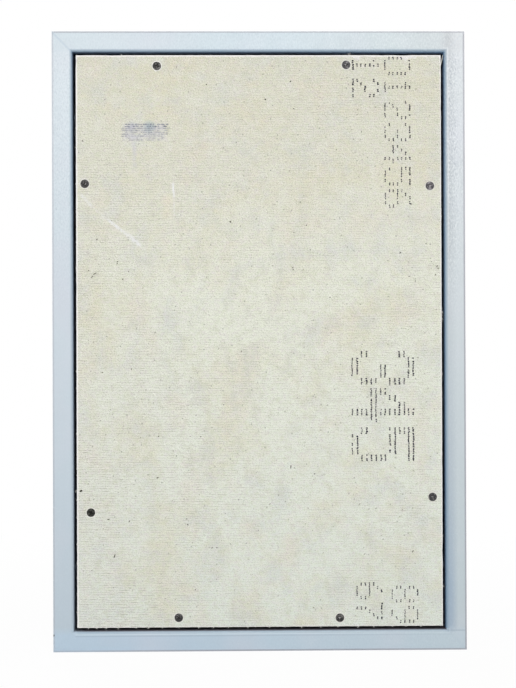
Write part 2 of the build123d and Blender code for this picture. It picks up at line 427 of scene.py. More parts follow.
# Tints of the board, with lengths in millimetres
boardTints = {
    # patches of the pressed waste paper: noise scale, where they begin and are full, weight, tint
    "patches": [
        (16, 0.48, 0.64, 0.5, (222, 215, 184)),
        (23, 0.52, 0.68, 0.34, (228, 211, 194)),
        (31, 0.5, 0.66, 0.48, (208, 213, 214)),
        (75, 0.48, 0.66, 0.42, (234, 234, 226)),
        (130, 0.5, 0.68, 0.34, (200, 203, 180)),
    ],
    # soft specks: cell scale, size, weight, tint
    "specks": [(150, 0.07, 0.6, (128, 132, 118)), (62, 0.022, 0.8, (96, 98, 92))],
    # where the top's paper is rubbed off: place, half length, weight
    "rubbed": [(95, 3, 0.85), (144, 8.5, 1)],
    # the smudged ink's lilac ground and the streak that ran from it: middle, half sizes, soft edge, weight
    "blots": [(-110.5, 202.5, 22.5, 9.8, 4.5, 0.58), (-120.5, 183, 3.5, 16, 5, 0.66)],
    # round spots: place, radius, weight, tint; the smudge's dark top, grey patches, an orange tinge
    "spots": [
        (-106, 207.5, 7.5, 0.7, (166, 182, 190)),
        (-123, 208, 6, 0.5, (182, 184, 198)),
        (-157, 65.2, 3.4, 0.3, (176, 176, 162)),
        (-160.5, 63, 3.4, 0.3, (176, 176, 162)),
        (173.1, 70.6, 3.4, 0.34, (170, 170, 156)),
        (-88.5, 136, 8.5, 0.16, (238, 212, 170)),
        (-89, 124, 8.5, 0.14, (236, 216, 170)),
    ],
    # soft white scrapes: start, end, width, strength
    "scuffs": [
        (-175, 145.5, -158.5, 127, 4.2, 0.62),
        (-161, 130, -144, 115.5, 2.2, 0.3),
        (-147.5, 118.5, -127.5, 103, 3.8, 0.95),
        (-131, 106, -112, 90.5, 5.2, 0.85),
        (-83.5, 155.5, -82.3, 138, 2.6, 0.9),
        (-82.4, 141, -82, 120, 1.8, 0.45),
    ],
    "fibreLean": 38,
    "bumpDepth": 0.22 * mm,
}


def fibreBoardMaterial():
    s = boardTints
    material, tree, shader, place = startMaterial("fibreBoard", 0.9)
    x, y, z = axesOf(tree, place)
    climb = zone(z, -280, 200)
    # painted light: the board is painted paler below its upper part and away from its left edge, and a little
    # darker near the top, standing in for how the lamps' light falls on it
    paintedLightShare = times(zone(z, 180, 50), zone(x, -190, -60, 0.45, 1))
    body = cover(
        blend(climb, (220, 223, 215), (223, 222, 205)),
        (paintedLightShare, blend(climb, (229, 236, 227), (235, 236, 218))),
        (zone(z, 200, 260, 0, 0.12), (196, 188, 156)),
    )
    for scale, start, end, weight, tint in s["patches"]:
        body = blend(fade(noiseAt(place, scale, 4, 0.6), start, end, 0, weight), body, tint)
    # the ribs' hollows painted darker and their crests lighter, as painted shade and painted highlight,
    # broken along their run
    wave = calculate("COSINE", times(z, 2 * math.pi / boardSheet["ribPitch"]))
    broken = fade(noiseAt(stretched(place, 110, 1, 420), 1, 3, 0.65), 0.41, 0.66)
    flattened = times(zone(x, -20, -90), zone(z, 160, 215))
    left = times(zone(x, -40, -110, 0.64, 0.95), fade(flattened, 0, 1, 1, 0.3))
    patchy = fade(noiseAt(place, 11, 2), 0.36, 0.64, 0.42, 1)
    clearness = times(broken, left, patchy)
    # fine leaning fibres, clearer higher up, and a tinge in the grain
    lean = {"Vector": place, "Angle": math.radians(s["fibreLean"])}
    turned = addNode(tree, "ShaderNodeVectorRotate", lean, rotation_type="Y_AXIS")[0]
    grain = noiseAt(stretched(turned, 720, 720, 1350), 1, 3, 0.7)
    clearer = zone(z, -160, 80, 0.8, 0.98)
    tinge = noiseAt(stretched(place, 330, 330, 500), 1, 2, 0.6)
    body = cover(
        body,
        (times(fade(wave, 0, 0.9), clearness), (150, 149, 132)),
        (times(fade(wave, 0, -0.9), clearness, 0.8), (246, 245, 236)),
        (times(fade(grain, 0.52, 0.7), clearer), (164, 164, 146)),
        (times(fade(grain, 0.48, 0.3), clearer), (248, 247, 238)),
        (fade(tinge, 0.54, 0.72, 0, 0.33), (212, 200, 206)),
        (fade(tinge, 0.46, 0.28, 0, 0.4), (208, 216, 186)),
    )
    for scale, size, weight, tint in s["specks"]:
        cells = addNode(tree, "ShaderNodeTexVoronoi", {"Vector": place, "Scale": scale})
        near = fade(cells["Distance"], size, size * 1.9, 1, 0)
        pick = addNode(tree, "ShaderNodeSeparateColor", {"Color": cells["Color"]})[0]
        body = blend(times(near, fade(pick, 0.6, 0.66), weight), body, tint)
    # whitish edge, wider at the left and the top; partly real wear and partly a painted highlight on the edge
    overWidth = minus(distance(x), boardSheet["halfWidth"])
    overHeight = minus(distance(z), boardSheet["halfHeight"])
    wider = times(largest(zone(x, -170, -175), zone(z, 270, 274)), 0.5 * mm)
    fray = times(noiseAt(place, 260, 3, 0.6), 2 * mm)
    wornAndLitEdge = zone(plus(largest(overWidth, overHeight), wider, fray), -0.3, 0.4)
    # the paper is rubbed off in places along the top
    patches = []
    for middle, half, weight in s["rubbed"]:
        patches.append(zone(apart(x, middle * mm), half * 0.6, half * 1.6, weight, 0))
    ragged = fade(noiseAt(place, 150, 4, 0.7), 0.3, 0.7, 0, 6.2 * mm)
    bareTop = zone(plus(overHeight, times(largest(*patches), ragged)), -1.4, 0)
    fuzzy = fade(noiseAt(place, 420, 3, 0.7), 0.38, 0.62, 0.25, 0.65)
    body = cover(
        body,
        (times(bareTop, fuzzy, zone(z, 200, 210)), (238, 234, 238)),
        (times(wornAndLitEdge, 0.94), (248, 246, 243)),
    )
    # marks on the face alone
    front = fade(y, boardSheet["front"] + 3 * mm, boardSheet["front"] + 2 * mm)
    body = addScuffs(place, body, front)
    soaked = fade(noiseAt(stretched(place, 90, 1, 220), 1, 3, 0.6), 0.3, 0.62, 0.25, 1)
    for middleX, middleZ, halfX, halfZ, soft, weight in s["blots"]:
        edgeX = minus(apart(x, middleX * mm), halfX * mm)
        edgeZ = minus(apart(z, middleZ * mm), halfZ * mm)
        inBlot = times(zone(largest(edgeX, edgeZ), 0, -soft), front)
        body = blend(times(inBlot, soaked, weight), body, (207, 206, 217))
    for spotX, spotZ, radius, weight, tint in s["spots"]:
        away = calculateVector("DISTANCE", place, (spotX * mm, boardSheet["front"], spotZ * mm))
        body = blend(times(zone(away, radius * 0.3, radius, weight, 0), front), body, tint)
    dress(shader, body, plus(times(wave, -0.12), grain), s["bumpDepth"], 0.8)
    shader.inputs["Specular IOR Level"].default_value = 0.2
    return material


def addScuffs(place, body, front):
    flat = calculateVector("MULTIPLY", place, (1, 0, 1))
    brushed = times(fade(noiseAt(place, 520, 3, 0.7), 0.38, 0.6, 0.22, 1), front)
    for startX, startZ, endX, endZ, width, strength in boardTints["scuffs"]:
        start = Vector((startX, 0, startZ)) * mm
        along = Vector((endX, 0, endZ)) * mm - start
        passed = calculateVector("SUBTRACT", flat, tuple(start))
        share = fade(calculateVector("DOT_PRODUCT", passed, tuple(along)), 0, along.length_squared)
        scaled = {0: tuple(along), "Scale": share}
        nearest = addNode(treeOf(place), "ShaderNodeVectorMath", scaled, operation="SCALE")[0]
        away = calculateVector("DISTANCE", passed, nearest)
        taper = fade(calculate("PINGPONG", share, 0.5), 0, 0.22)
        band = zone(away, width * 0.12, width * 0.62, 1, 0)
        body = blend(times(band, taper, brushed, strength), body, (241, 241, 243))
    return body


# Black phosphate, rubbed to bare grey in the cross recess
def screwMaterial():
    material, tree, shader, place = startMaterial("blackPhosphate", 0.55, 0.35)
    deep, dust, chalk = (
        addNode(tree, "ShaderNodeAttribute", attribute_name=label)["Fac"]
        for label in ("recess", "dust", "chalk")
    )
    rub = fade(noiseAt(place, 470, 2, 0.6), 0.5, 0.6)
    crumbs = fade(noiseAt(place, 640, 2), 0.46, 0.56, 0.1, 1.5)
    head = blend(dust, (27, 28, 23), (70, 68, 72))
    rubbed = blend(dust, (106, 106, 97), (172, 168, 170))
    filled = blend(times(chalk, crumbs), (24, 25, 20), (226, 223, 224))
    share = largest(times(rub, 0.55), times(deep, 0.92))
    dress(shader, blend(share, head, blend(deep, rubbed, filled)), rub, 0.08 * mm, 0.8)
    return material


# Dried ink that soaked in unevenly
def inkMaterial(name, tone, paleTone, scale):
    material, tree, shader, place = startMaterial(name, 0.75)
    soak = fade(noiseAt(place, scale, 3, 0.6), 0.38, 0.66)
    dress(shader, blend(soak, tone, paleTone), soak, 0.02 * mm, 0.6)
    shader.inputs["Specular IOR Level"].default_value = 0.2
    return material


# A two-tone finish with its own grain, for the smaller pieces
def plainMaterial(name, tone, darkTone, roughness, grainScale, bumpDepth, metallic=0):
    material, tree, shader, place = startMaterial(name, roughness, metallic)
    cloud = fade(noiseAt(place, 40, 4, 0.6), 0.35, 0.65)
    grain = noiseAt(place, grainScale, 3, 0.6)
    gloss = fade(grain, 0.3, 0.7, max(roughness - 0.08, 0.05), min(roughness + 0.1, 1))
    dress(shader, blend(cloud, darkTone, tone), grain, bumpDepth, 0.8, gloss)
    return material


powderCoat = paintMaterial()
fibreBoard = fibreBoardMaterial()
blackPhosphate = screwMaterial()
printInk = inkMaterial("printInk", (36, 34, 50), (78, 76, 92), 500)
smudgeInk = inkMaterial("smudgeInk", (132, 138, 152), (178, 180, 192), 600)
smudgePale = inkMaterial("smudgePale", (172, 171, 184), (206, 204, 208), 600)
darkFleck = inkMaterial("darkFleck", (58, 56, 48), (104, 102, 90), 600)
greyFleck = inkMaterial("greyFleck", (116, 116, 102), (158, 157, 142), 600)
paleFleck = inkMaterial("paleFleck", (150, 150, 136), (186, 184, 168), 500)
chalkWhite = plainMaterial("crushedChalk", (243, 242, 237), (224, 223, 213), 0.95, 900, 0.2 * mm)
scrapedWhite = plainMaterial("scrapedChalk", (246, 246, 247), (230, 230, 228), 0.95, 700, 0.1 * mm)
foamBlack = plainMaterial("cellFoam", (34, 34, 38), (20, 20, 23), 0.95, 1600, 0.4 * mm)
nylonBlack = plainMaterial("padNylon", (44, 44, 47), (34, 34, 37), 0.5, 1200, 0.05 * mm)
housingPlastic = plainMaterial("housingPlastic", (92, 93, 97), (80, 81, 85), 0.45, 1400, 0.06 * mm)
plungerNylon = plainMaterial("plungerNylon", (206, 205, 200), (194, 193, 187), 0.38, 1000, 0.04 * mm)
magnetNickel = plainMaterial("nickelPlate", (196, 192, 184), (180, 175, 166), 0.22, 2200, 0.02 * mm, 1)
springSteel = plainMaterial("springSteel", (168, 168, 170), (142, 142, 146), 0.3, 1800, 0.03 * mm, 1)
print("materials made")


# Geometry Nodes trees

# A tree with named inputs, each with its usual value or with the kind of thing that it takes
def startTree(name, inputs):
    tree = bpy.data.node_groups.new(name, "GeometryNodeTree")
    for label, value in inputs.items():
        kind = value if isinstance(value, str) else type(value).__name__.capitalize()
        socket = tree.interface.new_socket(label, in_out="INPUT", socket_type="NodeSocket" + kind)
        if kind != value:
            socket.default_value = value
    tree.interface.new_socket("Geometry", in_out="OUTPUT", socket_type="NodeSocketGeometry")
    return tree, tree.nodes.new("NodeGroupInput").outputs


def closeTree(tree, given, geometry):
    whole = addNode(tree, "GeometryNodeRealizeInstances", {"Geometry": geometry})[0]
    painted = addNode(tree, "GeometryNodeSetMaterial", {"Geometry": whole, "Material": given["Material"]})
    tree.links.new(painted[0], tree.nodes.new("NodeGroupOutput").inputs[0])
    return tree


# Runs a tree on a carrier mesh with these input values and keeps the result as a plain mesh
def growPiece(name, tree, values, carrier=None):
    piece = bpy.data.objects.new(name, carrier or bpy.data.meshes.new(name))
    scene.collection.objects.link(piece)
    modifier = piece.modifiers.new(name, "NODES")
    modifier.node_group = tree
    for socket in tree.interface.items_tree:
        if socket.name in values:
            modifier[socket.identifier] = values[socket.name]
    return settleModifiers(piece)


# Sets a copy of one piece at every point, with the point's own size and turn
def copiesTree():
    tree, given = startTree("copiesAtPoints", {
        "Geometry": "Geometry", "Copy": "Object", "Material": "Material",
    })
    model = addNode(tree, "GeometryNodeObjectInfo", {"Object": given["Copy"]})
    size, turn = (
        addNode(tree, "GeometryNodeInputNamedAttribute", {"Name": label}, data_type="FLOAT_VECTOR")[0]
        for label in ("size", "turn")
    )
    copies = addNode(tree, "GeometryNodeInstanceOnPoints", {
        "Points": given["Geometry"], "Instance": model["Geometry"], "Rotation": turn, "Scale": size,
    })
    return closeTree(tree, given, copies[0])


# Rows of low broken ribs over a sheet, with none near the kept-clear points
def ribsTree():
    tree, given = startTree("pressedRibs", {
        "Width": 0.3, "Height": 0.5, "Rows": 10, "Columns": 10, "Depth": 0.0, "Missing": 0.1,
        "Clear Points": "Object", "Clear Radius": 0.01, "Rib": "Object", "Seed": 1, "Material": "Material",
    })
    lattice = addNode(tree, "GeometryNodeMeshGrid", {
        "Size X": given["Width"],
        "Size Y": given["Height"],
        "Vertices X": given["Columns"],
        "Vertices Y": given["Rows"],
    })
    drop = addNode(tree, "ShaderNodeCombineXYZ", {"Y": given["Depth"]})
    standing = addNode(tree, "GeometryNodeTransform", {
        "Geometry": lattice["Mesh"],
        "Translation": drop[0],
        "Rotation": (math.radians(90), 0, 0),
    })
    slide = addNode(tree, "FunctionNodeRandomValue", {
        0: (-4.5 * mm, 0, -0.06 * mm), 1: (4.5 * mm, 0, 0.06 * mm), "Seed": given["Seed"],
    }, data_type="FLOAT_VECTOR")
    moved = addNode(tree, "GeometryNodeSetPosition", {"Geometry": standing[0], "Offset": slide[0]})
    gone = addNode(tree, "FunctionNodeRandomValue", {
        "Probability": given["Missing"], "Seed": plus(given["Seed"], 1),
    }, data_type="BOOLEAN")
    clear = addNode(tree, "GeometryNodeObjectInfo", {"Object": given["Clear Points"]})["Geometry"]
    near = addNode(tree, "GeometryNodeProximity", {"Geometry": clear}, target_element="POINTS")
    close = addNode(tree, "FunctionNodeCompare", {
        0: near["Distance"], 1: given["Clear Radius"],
    }, operation="LESS_THAN")
    either = addNode(tree, "FunctionNodeBooleanMath", {0: gone[3], 1: close[0]}, operation="OR")
    thinned = addNode(tree, "GeometryNodeDeleteGeometry", {
        "Geometry": moved[0], "Selection": either[0],
    }, domain="POINT")
    size = addNode(tree, "FunctionNodeRandomValue", {
        0: (0.55, 0.5, 0.7), 1: (1.05, 1, 1.1), "Seed": plus(given["Seed"], 2),
    }, data_type="FLOAT_VECTOR")
    model = addNode(tree, "GeometryNodeObjectInfo", {"Object": given["Rib"]})["Geometry"]
    copies = addNode(tree, "GeometryNodeInstanceOnPoints", {
        "Points": thinned[0], "Instance": model, "Scale": size[0],
    })
    return closeTree(tree, given, copies[0])


# Coils at the carrier's points, wound from round wire
def springTree():
    tree, given = startTree("coilSprings", {
        "Geometry": "Geometry", "Radius": 0.003, "Length": 0.012, "Turns": 3.0, "Wire": 0.0004,
        "Material": "Material",
    })
    coil = addNode(tree, "GeometryNodeCurveSpiral", {
        "Resolution": 40,
        "Rotations": given["Turns"],
        "Start Radius": given["Radius"],
        "End Radius": given["Radius"],
        "Height": given["Length"],
    })
    wire = addNode(tree, "GeometryNodeCurvePrimitiveCircle", {
        "Resolution": 10, "Radius": given["Wire"],
    }, mode="RADIUS")
    solid = addNode(tree, "GeometryNodeCurveToMesh", {
        "Curve": coil[0], "Profile Curve": wire[0], "Fill Caps": True,
    })
    laid = addNode(tree, "GeometryNodeTransform", {
        "Geometry": solid[0], "Rotation": (math.radians(-90), 0, 0),
    })
    copies = addNode(tree, "GeometryNodeInstanceOnPoints", {"Points": given["Geometry"], "Instance": laid[0]})
    return closeTree(tree, given, copies[0])


# Loose points that carry a size and a turn each
def pointMesh(name, places, sizes=None, turns=None):
    mesh = bpy.data.meshes.new(name)
    mesh.from_pydata(places, [], [])
    for label, rows in (("size", sizes), ("turn", turns)):
        if rows:
            values = mesh.attributes.new(label, "FLOAT_VECTOR", "POINT")
            values.data.foreach_set("vector", [part for row in rows for part in row])
    return mesh


copiesAtPoints = copiesTree()
pressedRibs = ribsTree()
coilSprings = springTree()


# The board: a slab with a ragged, worn edge and a flared hole for each screw

# Points round the board's edge with their outward direction, anticlockwise from the front
def edgeWalk(halfWidth, halfHeight, step):
    corners = [(-1, -1), (1, -1), (1, 1), (-1, 1)]
    walk = []
    for k in range(4):
        (x0, z0), (x1, z1) = corners[k], corners[(k + 1) % 4]
        start = Vector((x0 * halfWidth, z0 * halfHeight))
        end = Vector((x1 * halfWidth, z1 * halfHeight))
        count = round((end - start).length / step)
        along = (end - start).normalized()
        outward = Vector((along.y, -along.x))
        for i in range(count):
            direction = outward if i else (outward + Vector((x0, z0)).normalized()).normalized()
            walk.append((start.lerp(end, i / count), direction))
    return walk


def makeBoard():
    s = boardSheet
    walk = edgeWalk(s["halfWidth"], s["halfHeight"], s["raggedStep"])
    count = len(walk)
    rings = [[], [], []]
    for place, outward in walk:
        atFoot, atLeft = outward.y < -0.5, outward.x < -0.5
        spot = Vector((place.x * s["raggedScale"], 0, place.y * s["raggedScale"]))
        rough = (noise.noise(spot * (1.6 if atFoot else 1)) + 1) / 2
        broad = max(noise.noise(spot * 0.11 + Vector((7, 0, 0))) - 0.32, 0) * 1.6
        fine = abs(noise.noise(spot * 0.6 + Vector((3, 5, 0))))
        lowLeft = s["lowLeftRaggedness"] if atLeft and place.y < s["lowLeftTop"] else 1
        coarser = s["footRaggedness"] if atFoot else lowLeft
        ragged = s["raggedDepth"] * rough * coarser + s["bite"] * broad * rough
        arris = s["arris"] + s["arrisSpread"] * fine + s["biteArris"] * broad
        outer = place - outward * ragged
        inner = place - outward * (ragged + arris)
        rings[0].append((outer.x, s["back"], outer.y))
        rings[1].append((outer.x, s["front"] + arris * 0.9, outer.y))
        rings[2].append((inner.x, s["front"], inner.y))
    faces = [tuple(range(count)), tuple(reversed(range(2 * count, 3 * count)))]
    for k in range(count):
        after = (k + 1) % count
        faces += [(a + k, a + count + k, a + count + after, a + after) for a in (0, count)]
    return addPiece("boardSlab", [p for ring in rings for p in ring], faces, fibreBoard)


def screwCutters():
    s = screwSpots
    start, end = boardLow.y - 1 * mm, boardHigh.y + 1 * mm
    slope = (s["headRadius"] - s["shankRadius"]) / s["headDepth"]
    neck = s["shankRadius"] + s["spare"]
    mouth = s["headRadius"] + s["spare"] + slope * (s["front"] - boardLow.y + 1 * mm)
    profile = [(0, start), (mouth, start), (neck, s["front"] + s["headDepth"]), (neck, end), (0, end)]
    hole, holeFaces = lathe(profile, 40)
    points, faces = [], []
    for x, z in screwPlaces:
        faces += [tuple(len(points) + i for i in face) for face in holeFaces]
        points += [(px + x, py, pz + z) for px, py, pz in hole]
    return addPiece("screwCutters", points, faces, fibreBoard)


board = makeBoard()
cutAway(board, screwCutters())
attach(board, "door", "fibre_board", "board")
print("board cut, faces:", len(board.data.polygons))

ribs = {
    "length": 17 * mm,
    "width": 0.95 * mm,
    "rise": 0.045 * mm,
    "sunk": 0.02 * mm,
    "missing": 0.16,
    "endMargin": 14 * mm,
    "clearRadius": 13.5 * mm,
    "seed": 11,
    "rows": int(2 * boardSheet["halfHeight"] / boardSheet["ribPitch"]) - 1,
}


def makeRibs():
    s, b = ribs, boardSheet
    half, wide = s["length"] / 2, s["width"] / 2
    points = [(-half, s["sunk"], 0), (half, s["sunk"], 0)]
    for x in (-half * 0.7, half * 0.7):
        points += [(x, s["sunk"], -wide), (x, s["sunk"], wide), (x, -s["rise"], 0)]
    faces = [
        (2, 5, 7, 4), (4, 7, 6, 3), (3, 6, 5, 2),
        (0, 2, 4), (0, 4, 3), (0, 3, 2), (1, 7, 5), (1, 6, 7), (1, 5, 6),
    ]
    width = 2 * b["halfWidth"] - 2 * s["endMargin"]
    clear = pointMesh("clearPoints", [(x, b["front"], z) for x, z in screwPlaces])
    piece = growPiece("boardRibs", pressedRibs, {
        "Width": width,
        "Height": (s["rows"] - 1) * b["ribPitch"],
        "Rows": s["rows"],
        "Columns": int(width / s["length"]) + 2,
        "Depth": b["front"],
        "Missing": s["missing"],
        "Clear Points": bpy.data.objects.new("clearPoints", clear),
        "Clear Radius": s["clearRadius"],
        "Rib": addPiece("ribModel", points, faces),
        "Seed": s["seed"],
        "Material": fibreBoard,
    })
    return attach(piece, "door", "fibre_board")


print("ribs laid, faces:", len(makeRibs().data.polygons))


# Screws with a cross recess, and the chalk crushed up round their heads

def makeScrewModel():
    s = screwSpots
    head, neck, shank, end = s["headRadius"], s["headDepth"], s["shankRadius"], s["length"]
    profile = [
        (0, 0), (head - 0.25 * mm, 0), (head, 0.12 * mm), (head - 0.1 * mm, 0.45 * mm),
        (head * 0.78, 1.1 * mm), (head * 0.58, 2 * mm), (shank, neck), (shank * 0.72, neck + 1.2 * mm),
        (shank * 0.72, end - 5 * mm), (0.3 * mm, end - 0.3 * mm), (0, end),
    ]
    screw = addPiece("screwModel", *lathe(profile, 32))
    points, faces = [], []
    for turned in (False, True):
        base = len(points)
        for y, spread, wide in ((-0.2 * mm, 1, 1), (s["crossDepth"], 0.5, 0.6)):
            for sx, sz in ((-1, -1), (1, -1), (1, 1), (-1, 1)):
                across, up = sx * s["crossReach"] * spread, sz * s["crossHalfWidth"] * wide
                points.append((up, y, across) if turned else (across, y, up))
        for face in ((0, 1, 2, 3), (7, 6, 5, 4), (0, 4, 5, 1), (1, 5, 6, 2), (2, 6, 7, 3), (3, 7, 4, 0)):
            faces.append(tuple(base + i for i in face))
    scene.collection.objects.link(screw)
    cutAway(screw, addPiece("crossCutter", points, faces, blackPhosphate), crossing=True)
    scene.collection.objects.unlink(screw)
    recess = screw.data.attributes.new("recess", "FLOAT", "POINT")
    for vertex in screw.data.vertices:
        inDepth = 0.3 * mm < vertex.co.y < s["crossDepth"] + 0.3 * mm
        recess.data[vertex.index].value = float(inDepth and vertex.co.xz.length < s["crossReach"] * 0.85)
    return screw


def makeScrews():
    s = screwSpots
    places = [(x, s["front"], z) for x, z in screwPlaces]
    turns = [(0, -math.radians(turn), 0) for _, _, turn in s["places"]]
    carrier = pointMesh("boardScrews", places, [(1, 1, 1)] * len(places), turns)
    values = {"Copy": makeScrewModel(), "Material": blackPhosphate}
    piece = growPiece("boardScrews", copiesAtPoints, values, carrier)
    piece.data.shade_smooth()
    piece.data.set_sharp_from_angle(angle=math.radians(35))
    nearest = []
    for vertex in piece.data.vertices:
        away = [math.hypot(vertex.co.x - x, vertex.co.z - z) for x, z in screwPlaces]
        nearest.append(away.index(min(away)))
    for label in ("dust", "chalk"):
        marks = piece.data.attributes.new(label, "FLOAT", "POINT")
        marks.data.foreach_set("value", [s[label][k] for k in nearest])
    attach(piece, "door", "screw_black", "board_screws")


collars = {"inner": 4.2 * mm, "crest": 4.5 * mm, "outer": 5.2 * mm, "rise": 0.085 * mm, "segments": 56}


def makeCollars():
    s, front = collars, boardSheet["front"]
    points, faces = [], []
    for number, (x, z) in enumerate(screwPlaces):
        rings = []
        for k in range(s["segments"]):
            angle = 2 * math.pi * k / s["segments"]
            dx, dz = math.cos(angle), math.sin(angle)
            wobble = noise.noise(Vector((dx * 2.3, dz * 2.3, number * 3.7)))
            ripple = noise.noise(Vector((dx * 7, dz * 7, number * 5.1)))
            outer = s["outer"] + (0.8 * wobble + 0.4 * ripple) * mm
            rise = s["rise"] * (0.8 + 0.2 * ripple)
            profile = (
                (s["inner"] + 0.1 * mm * ripple, 0.3 * mm),
                (s["inner"] + 0.12 * mm * ripple, -rise * 0.4),
                (s["crest"] + 0.2 * mm * wobble, -rise),
                ((s["crest"] + outer) / 2, -rise * 0.45),
                (outer, 0.02 * mm),
                (outer * 0.9, 0.1 * mm),
            )
            rings.append([(x + r * dx, front + y, z + r * dz) for r, y in profile])
        addTube(points, faces, rings, looped=True)
    attach(addPiece("crushedCollars", points, faces, chalkWhite, smooth=True), "door", "fibre_board")


makeScrews()
makeCollars()
print("screws set")


# Ink: digits printed by a nozzle head, bead by bead on the ribs' crests

digitDots = {
    "0": "01110 10001 10001 10001 10001 10001 01110",
    "1": "00100 01100 00100 00100 00100 00100 01110",
    "2": "01110 10001 00001 00110 01000 10000 11111",
    "3": "01110 10001 00001 00110 00001 10001 01110",
    "4": "00010 00110 01010 10010 11111 00010 00010",
    "5": "11111 10000 11110 00001 00001 10001 01110",
    "6": "00110 01000 10000 11110 10001 10001 01110",
    "7": "11111 00001 00010 00100 01000 01000 01000",
    "8": "01110 10001 10001 01110 10001 10001 01110",
    "9": "01110 10001 10001 01111 00001 00010 01100",
}

# The text runs down the board: digits climb towards +X and follow one another towards -Z.
# Each line has its digits, the first one's lower left (x, z), the steps from nozzle to nozzle, from
# column to column and from digit to digit, how often a dot repeats each way, and a bead's width
printLines = [
    ("0123456", 122.5, 276.0, 4.05, 3.7, 21.5, 1, 1.26),
    ("12", 91.5, 276.5, 4.05, 3.7, 22, 1, 1.38),
    ("345", 90, -10.5, 4.55, 3.3, 36.5, 2, 1.42),
    ("67", 93.5, -233.5, 4.05, 3.5, 20, 1, 1.2),
    ("89", 128, -237, 4.05, 3.5, 20, 1, 1.2),
]
# The shares of dots and beads that the nozzles missed, and how far a bead strays in millimetres
printHead = {
    "seed": 4,
    "missedDots": 0.02,
    "missedBeads": 0.03,
    "strayAcross": 0.16,
    "strayAlong": 0.12,
    "top": 276.3 * mm,
    "thick": 0.06 * mm,
}
smearThick = 0.05 * mm
inkDepth = boardSheet["front"] - 0.06 * mm
ribStart = -(ribs["rows"] - 1) / 2 * boardSheet["ribPitch"]


# A flat lens, one unit across and one thick, closed
def beadModel():
    ringCount = 8
    points = [(0, -0.5, 0), (0, 0.5, 0)]
    faces = []
    for k in range(ringCount):
        angle = 2 * math.pi * k / ringCount
        points.append((0.5 * math.cos(angle), 0, 0.5 * math.sin(angle)))
        a, b = 2 + k, 2 + (k + 1) % ringCount
        faces += [(0, a, b), (1, b, a)]
    return addPiece("bead", points, faces, smooth=True)


bead = beadModel()


# Beads of one material on the board's face, from rows of x, z, length, width and turn
def scatter(name, rows, thick, material):
    places = [(x, inkDepth, z) for x, z, _, _, _ in rows]
    sizes = [(length, thick, width) for _, _, length, width, _ in rows]
    turns = [(0, turn, 0) for _, _, _, _, turn in rows]
    carrier = pointMesh(name, places, sizes, turns)
    piece = growPiece(name, copiesAtPoints, {"Copy": bead, "Material": material}, carrier)
    attach(piece, "door", "fibre_board")


def crestNear(z):
    pitch = boardSheet["ribPitch"]
    return ribStart + round((z - ribStart) / pitch) * pitch


def nearScrew(x, z, reach=5.2 * mm):
    return any(math.hypot(x - screwX, z - screwZ) < reach for screwX, screwZ in screwPlaces)


def makePrint():
    s = printHead
    draw = random.Random(s["seed"])
    pitch = boardSheet["ribPitch"]
    rows = []
    for digits, startX, startZ, nozzleStep, columnStep, digitStep, fold, width in printLines:
        wear = [draw.uniform(0.75, 1.12) for _ in range(7 * fold)]
        slip = [draw.uniform(-0.35, 0.35) for _ in range(7 * fold)]
        for order, nozzle, column in product(range(len(digits)), range(7 * fold), range(5 * fold)):
            pattern = digitDots[digits[order]].split()[6 - nozzle // fold]
            if pattern[column // fold] == "0" or draw.random() < s["missedDots"]:
                continue
            x = startX + nozzle * nozzleStep + slip[nozzle] + draw.uniform(-0.15, 0.15)
            top = startZ - order * digitStep - column * columnStep
            length = columnStep * draw.uniform(0.72, 1.1)
            for step in range(max(1, round(length / (pitch / mm)))):
                z = crestNear((top - (step + 0.5) * pitch / mm) * mm)
                if nearScrew(x * mm, z) or draw.random() < s["missedBeads"] or z > s["top"]:
                    continue
                wide = width * wear[nozzle] * draw.uniform(0.95, 1.5)
                tall = draw.uniform(1.15, 1.75)
                beadX = x * mm + draw.gauss(0, s["strayAcross"]) * mm
                beadZ = z + draw.gauss(0, s["strayAlong"]) * mm
                rows.append((beadX, beadZ, wide * mm, tall * mm, draw.uniform(-0.4, 0.4)))
    scatter("printedDigits", rows, s["thick"], printInk)


# The layers are rows of short strokes: material, first row, rows, share of strokes, height, seed
smudge = {
    "left": -133.5,
    "right": -88.6,
    "top": 210,
    "pitch": 1.9,
    "denseRows": 2,
    "indent": 3,
    "stroke": (1, 4.4),
    "space": (0.1, 0.8),
    "layers": {
        "inkSmudge": (smudgeInk, 0, 2, 0.86, 1.15, 9),
        "inkSmudgeMiddle": (smudgeInk, 2, 4, 0.42, 0.8, 12),
        "inkSmudgePale": (smudgePale, 2, 7, 0.74, 0.8, 14),
    },
}


def makeSmudge(name, material, firstRow, rowCount, share, tall, seed):
    s = smudge
    draw = random.Random(seed)
    rows = []
    for row in range(firstRow, firstRow + rowCount):
        z = (s["top"] - row * s["pitch"]) * mm
        x = s["left"] + draw.uniform(0, 2.5) + (s["indent"] if row < s["denseRows"] else 0)
        while x < s["right"]:
            length = draw.uniform(*s["stroke"])
            if draw.random() < share:
                spot = ((x + length / 2) * mm, z + draw.gauss(0, 0.07) * mm)
                width = tall * draw.uniform(0.7, 1.15) * mm
                rows.append((*spot, length * mm, width, draw.uniform(-0.05, 0.05)))
            x += length + draw.uniform(*s["space"])
    scatter(name, rows, smearThick, material)


